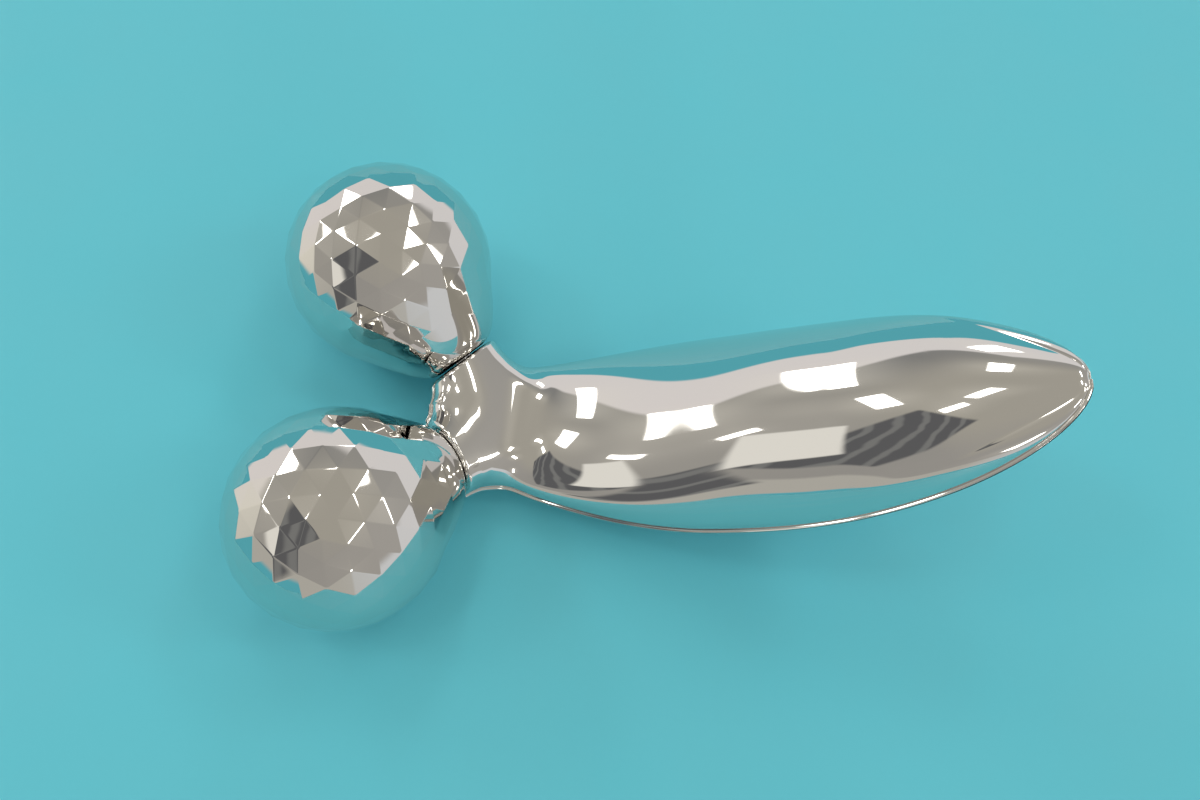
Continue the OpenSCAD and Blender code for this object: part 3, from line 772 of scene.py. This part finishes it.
def onCollar(v):
    # a corner above the collar's foot moves onto the collar, as far along as it was on the sphere
    foot = math.atan2(*ball["foot"])
    left = ball["radius"] * (foot - math.atan2(math.hypot(v.x, v.y), v.z))
    if left <= 0:
        return v
    u, place = 0.0, collarCurve(0.0)[0]
    while left > 0 and u < ball["climb"]:
        u += ball["stride"]
        ahead = collarCurve(u)[0]
        left -= (ahead - place).length
        place = ahead
    way = Vector((v.x, v.y, 0)).normalized()
    return way * (place.x + ball["proud"]) + Vector((0, 0, place.y))


def spin(v, zero, axis):
    # angle of v about an axis, from the direction zero
    a = (zero - axis * zero.dot(axis)).normalized()
    return math.atan2(v.dot(axis.cross(a)), v.dot(a))


def turned(phi, radius, height):
    return Vector((radius * math.cos(phi), radius * math.sin(phi), height))


def hollowCurve():
    # radius, height and normal of each ring from the rim through the bore round the cavity
    bore, cavity = ball["bore"], ball["cavity"]
    rimRadius, rimHeight = ball["rim"]
    rows = [
        (rimRadius - ball["rimRound"], rimHeight, (0, 1)),
        (bore + ball["boreRound"], rimHeight, (0, 1)),
        (bore, rimHeight - ball["boreRound"], (-1, 0)),
        (bore, math.sqrt(cavity ** 2 - bore ** 2), (-1, 0)),
    ]
    for step in range(1, ball["cavityRings"] + 1):
        share = step / ball["cavityRings"]
        a = mix(math.asin(bore / cavity), math.pi - ball["cavityEnd"], share)
        rows.append((cavity * math.sin(a), cavity * math.cos(a), (-math.sin(a), -math.cos(a))))
    return rows


def ballPlace(side):
    # from a ball's own frame, with the axle along z, to the part's
    place = Matrix.Translation((-handle["originX"], 0, ball["radius"]))
    place = place @ Matrix.Rotation(fork["slope"], 4, "Y")
    place = place @ Matrix.Translation((0, side * fork["halfGap"], 0))
    place = place @ Matrix.Rotation(-side * fork["angle"], 4, "Z")
    return place @ Matrix.Rotation(math.pi / 2, 4, "Y")


def buildBall(name, sideName, side):
    turn = Euler([math.radians(a) for a in ball["turns"][sideName]]).to_matrix()
    points, facets = facetMesh(turn)
    kept = [f for f in facets if sum(points[k].z for k in f) / 3 < ball["facetEnd"]]
    points = [onCollar(v) for v in points]
    verts, normals, faces = [], [], []

    def add(place, normal):
        verts.append(place)
        normals.append(normal.normalized())
        return len(verts) - 1

    flat = []
    for a, b, c in kept:
        flat.append((points[b] - points[a]).cross(points[c] - points[a]).normalized())
    outward = {}
    for normal, facet in zip(flat, kept):
        for k in facet:
            outward[k] = outward.get(k, Vector()) + normal
    corner, byEdge, around = {}, {}, {}
    for f, facet in enumerate(kept):
        middle = sum((points[k] for k in facet), Vector()) / 3
        for n, k in enumerate(facet):
            into = (middle - points[k]).normalized()
            place = points[k] + into * ball["bevel"] * 2
            lean = outward[k].normalized() - flat[f]
            corner[f, k] = add(place, flat[f] + lean * ball["crown"])
            around.setdefault(k, []).append(f)
            nextK = facet[(n + 1) % 3]
            byEdge.setdefault(frozenset((k, nextK)), []).append((f, k, nextK))
        faces.append([corner[f, k] for k in facet])

    # strips over the facet edges, and the open edges in order round the mouth
    follow = {}
    for users in byEdge.values():
        f, a, b = users[0]
        if len(users) == 2:
            g = users[1][0]
            faces.append([corner[f, b], corner[f, a], corner[g, a], corner[g, b]])
        else:
            follow[a] = (b, f)
    loop = []
    k = start = next(iter(follow))
    while not loop or k != start:
        nextK, f = follow[k]
        loop.append((k, nextK, f))
        k = nextK

    # a small cap over each inner corner
    for k, users in around.items():
        if k in follow:
            continue
        up = outward[k].normalized()
        east = up.orthogonal().normalized()
        north = up.cross(east)
        spokes = []
        for f in users:
            off = verts[corner[f, k]] - points[k]
            spokes.append((math.atan2(off.dot(north), off.dot(east)), corner[f, k]))
        faces.append([v for _, v in sorted(spokes)])

    # the first ring of the collar along the open edges, then rings up to the rim
    split, ring = ball["split"], []
    for k, nextK, _ in loop:
        for part in range(split):
            p = points[k].lerp(points[nextK], part / split)
            ring.append((math.atan2(p.y, p.x), collarStart(p.z)))
    rings = []
    for step in range(ball["rings"] + 1):
        row = []
        for phi, u in ring:
            place, normal = collarCurve(mix(u, 1.0, step / ball["rings"]))
            row.append(add(turned(phi, *place), turned(phi, *normal)))
        rings.append(row)
    for low, high in zip(rings, rings[1:]):
        faces += bandFaces(low, high)

    # from the facets to the first ring
    half, down = split // 2, Vector((0, 0, -1))
    for n, (k, nextK, f) in enumerate(loop):
        left, right = corner[f, k], corner[f, nextK]
        strip = [rings[0][(n * split + part) % len(ring)] for part in range(split + 1)]
        for part in range(split):
            faces.append([left if part <= half else right, strip[part + 1], strip[part]])
            if part == half:
                faces.append([left, right, strip[part + 1]])
        if loop[n - 1][2] != f:
            up = outward[k].normalized()
            order = sorted(around[k], key=lambda g: spin(verts[corner[g, k]] - points[k], down, up))
            for g, h in zip(order, order[1:]):
                faces.append([strip[0], corner[g, k], corner[h, k]])

    # rim, bore and the hollow inside
    last = rings[-1]
    for radius, height, normal in hollowCurve():
        row = [add(turned(phi, radius, height), turned(phi, *normal)) for phi, _ in ring]
        faces += bandFaces(last, row)
        last = row
    faces.append(last)

    place = ballPlace(side)
    mesh = bpy.data.meshes.new(name)
    mesh.from_pydata([(place @ v) * mm for v in verts], [], faces)
    mesh.materials.append(finishes["ball_chrome"])
    faceOutward(mesh)
    mesh.shade_smooth()
    turnOnly = place.to_3x3()
    mesh.normals_split_custom_set_from_vertices([turnOnly @ n for n in normals])
    obj = bpy.data.objects.new(name, mesh)
    scene.collection.objects.link(obj)
    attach(obj, sideName + "_roller")
    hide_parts(sideName + "_ball_shell", sideName + "_ball_collar")
    print(name, len(kept), "facets", len(loop), "edges round the mouth")


floorLook = {
    "box": (-185, -420, 420, 520),  # mm: left, near, right, far
    "finish": {"color": (0.128, 0.645, 0.79), "mottle": 0.02, "rough": 0.6, "scale": 30, "depth": 0.0},
}


def buildFloor():
    mesh = bpy.data.meshes.new("floor")
    left, near, right, far = (c * mm for c in floorLook["box"])
    corners = [(left, near, 0), (right, near, 0), (right, far, 0), (left, far, 0)]
    mesh.from_pydata(corners, [], [(0, 1, 2, 3)])
    obj = bpy.data.objects.new("floor", mesh)
    scene.collection.objects.link(obj)
    obj.data.materials.append(grainMaterial("aqua_sheet", floorLook["finish"]))
    print("floor built")


room = {  # directions are compass angle and height in degrees
    "sheet": (0.112, 0.47, 0.55),
    "sheetTops": [
        (-180, -15), (-150, -2), (-60, -4), (-30, -10), (20, -10), (50, -3), (73, 14),
        (95, 17), (112, 9), (135, 6), (150, -6), (165, -12), (180, -15),
    ],
    "ceilingTones": [
        (-180, (0.43, 0.41, 0.37)), (-120, (0.37, 0.355, 0.33)), (-60, (0.42, 0.4, 0.37)),
        (0, (0.46, 0.44, 0.41)), (60, (0.37, 0.36, 0.34)), (118, (0.27, 0.267, 0.258)),
        (150, (0.39, 0.375, 0.34)), (180, (0.43, 0.41, 0.37)),
    ],
    "overhead": (0.45, 0.425, 0.37),
    "overheadFrom": (0.36, 0.68),  # share of the way up where the ceiling takes on that tone
    "wallTops": [
        (-180, 14), (-160, 9), (-70, 10), (-50, 8), (-20, 7), (20, 13), (60, 30),
        (90, 38), (110, 30), (126, 29), (140, 26), (158, 21), (180, 14),
    ],
    "wallTones": [
        (-180, (0.86, 0.82, 0.72)), (-150, (0.52, 0.5, 0.45)), (-75, (0.52, 0.5, 0.45)),
        (-50, (0.7, 0.72, 0.74)), (20, (0.8, 0.78, 0.78)), (160, (0.86, 0.81, 0.79)),
        (180, (0.86, 0.82, 0.72)),
    ],
    "shelves": [((-131, 17), (-140, 62), 30), ((-124, 3), (-148, 14), 9)],
    "shelfTone": (0.13, 0.13, 0.135),
    "shelfLight": (0.23, 0.23, 0.225),
    "streakScale": 3.0,
    "streakBend": 4.0,
    "streakFrom": (0.6, 0.98),  # from the shelves' dark tone to the light one
    "screen": ((-137, 20), (-162, 32), 11),
    "screenTone": (0.93, 0.9, 0.83),
    "lampTone": (7.5, 7.3, 6.9),
    "glowTone": (0.95, 0.9, 0.8),  # the soft light round a lamp
    "glowWidth": 12,
    "glowShare": 0.3,
    "lamps": [  # from, to, width
        ((129, 21), (154, 36), 5.5),
        ((160, 19), (-179, 23), 1.5),
        ((167.5, 44.5), (-176, 50), 7.0),
        ((84, 24), (95, 31), 5.0),
        ((101, 50.5), (111, 60), 5.0),
        ((-154, 62), (-159, 70), 4.0),
        ((-168, 31), (-166, 24), 2.5),
        ((60, 48), (38, 52), 5.0),
        ((26, 66), (4, 60), 5.0),
        ((9, 44), (3, 30), 5.0),
        ((-30, 52), (-46, 49), 5.0),
        ((-67, 15), (-60, 24), 6.0),
        ((-178, 72), (150, 76), 5.0),
    ],
    "soft": {"wall": 0.014, "sheet": 0.008, "shelf": 0.02, "screen": 0.015, "lamp": 0.012, "glow": 0.16},
    "ahead": 0.01,  # a patch shows only on the side of the room that it lies on
}


def aim(place):
    turn, lift = (math.radians(a) for a in place)
    across = math.cos(lift)
    return Vector((math.cos(turn) * across, math.sin(turn) * across, math.sin(lift)))


def buildRoom():
    world = bpy.data.worlds.new("room")
    scene.world = world
    world.use_nodes = True
    nodes, links = world.node_tree.nodes, world.node_tree.links
    background = nodes["Background"]
    place = nodes.new("ShaderNodeTexCoord")
    split = nodes.new("ShaderNodeSeparateXYZ")
    links.new(place.outputs["Generated"], split.inputs["Vector"])
    soft = room["soft"]

    def number(operation, *values):
        node = nodes.new("ShaderNodeMath")
        node.operation = operation
        for socket, value in zip(node.inputs, values):
            if isinstance(value, (int, float)):
                socket.default_value = value
            else:
                links.new(value, socket)
        return node.outputs["Value"]

    def step(value, low, high):
        node = nodes.new("ShaderNodeMapRange")
        node.interpolation_type = "SMOOTHSTEP"
        links.new(value, node.inputs["Value"])
        node.inputs["From Min"].default_value, node.inputs["From Max"].default_value = low, high
        return node.outputs["Result"]

    def over(share, below, above):
        node = nodes.new("ShaderNodeMix")
        node.data_type = "RGBA"
        sockets = (node.inputs[0], node.inputs[6], node.inputs[7])
        for socket, value in zip(sockets, (share, below, above)):
            if isinstance(value, tuple):
                socket.default_value = (*value, 1)
            else:
                links.new(value, socket)
        return node.outputs[2]

    turn = number("DIVIDE", number("ARCTAN2", split.outputs["Y"], split.outputs["X"]), math.pi * 2)
    turn = number("ADD", turn, 0.5)
    lift = number("DIVIDE", number("ARCSINE", split.outputs["Z"]), math.pi / 2)

    def roundRoom(stops):
        # a tone, or a height kept one up to stay above 0, that changes with the compass angle
        node = nodes.new("ShaderNodeValToRGB")
        node.color_ramp.interpolation = "LINEAR"
        spots = node.color_ramp.elements
        while len(spots) < len(stops):
            spots.new(0.5)
        for spotAt, (angle, value) in zip(spots, stops):
            spotAt.position = (angle + 180) / 360
            tone = value if isinstance(value, tuple) else [value / 90 + 1] * 3
            spotAt.color = (*tone, 1)
        links.new(turn, node.inputs["Fac"])
        return node.outputs["Color"]

    def above(stops, soft):
        edge = number("SUBTRACT", roundRoom(stops), 1.0)
        return step(number("SUBTRACT", lift, edge), -soft, soft)

    def patch(start, end, width, soft):
        # a rectangle seen in a given direction: 1 inside, 0 outside
        a, b = aim(start), aim(end)
        middle = (a + b).normalized()
        along = (b - a).normalized()
        across = middle.cross(along)
        sizes = (math.tan(a.angle(b) / 2), math.tan(math.radians(width) / 2))

        def part(axis):
            node = nodes.new("ShaderNodeVectorMath")
            node.operation = "DOT_PRODUCT"
            links.new(place.outputs["Generated"], node.inputs[0])
            node.inputs[1].default_value = axis
            return node.outputs["Value"]

        depth = part(middle)
        share = step(depth, 0.0, room["ahead"])
        for axis, size in zip((along, across), sizes):
            off = number("DIVIDE", part(axis), number("MAXIMUM", depth, room["ahead"]))
            inside = number("SUBTRACT", size, number("ABSOLUTE", off))
            share = number("MULTIPLY", share, step(inside, -soft, soft))
        return share

    overhead = step(lift, *room["overheadFrom"])
    ceiling = over(overhead, roundRoom(room["ceilingTones"]), room["overhead"])
    tone = over(above(room["wallTops"], soft["wall"]), roundRoom(room["wallTones"]), ceiling)
    for start, end, width in room["lamps"]:
        glow = patch(start, end, width + room["glowWidth"], soft["glow"])
        tone = over(number("MULTIPLY", glow, room["glowShare"]), tone, room["glowTone"])
    streaks = nodes.new("ShaderNodeTexWave")
    streaks.inputs["Scale"].default_value = room["streakScale"]
    streaks.inputs["Distortion"].default_value = room["streakBend"]
    links.new(place.outputs["Generated"], streaks.inputs["Vector"])
    streak = step(streaks.outputs["Fac"], *room["streakFrom"])
    shelfTone = over(streak, room["shelfTone"], room["shelfLight"])
    for shelf in room["shelves"]:
        tone = over(patch(*shelf, soft["shelf"]), tone, shelfTone)
    tone = over(patch(*room["screen"], soft["screen"]), tone, room["screenTone"])
    tone = over(above(room["sheetTops"], soft["sheet"]), room["sheet"], tone)
    for lamp in room["lamps"]:
        tone = over(patch(*lamp, soft["lamp"]), tone, room["lampTone"])
    links.new(tone, background.inputs["Color"])
    print("room built")


scene.view_settings.view_transform = "Standard"
placeCamera()
buildFloor()
buildRoom()
dressCadNodes()
buildShell("upper_skin", "upper_shell", True)
buildShell("lower_skin", "lower_shell", False)
buildBall("left_faceted_ball", "left", 1)
buildBall("right_faceted_ball", "right", -1)
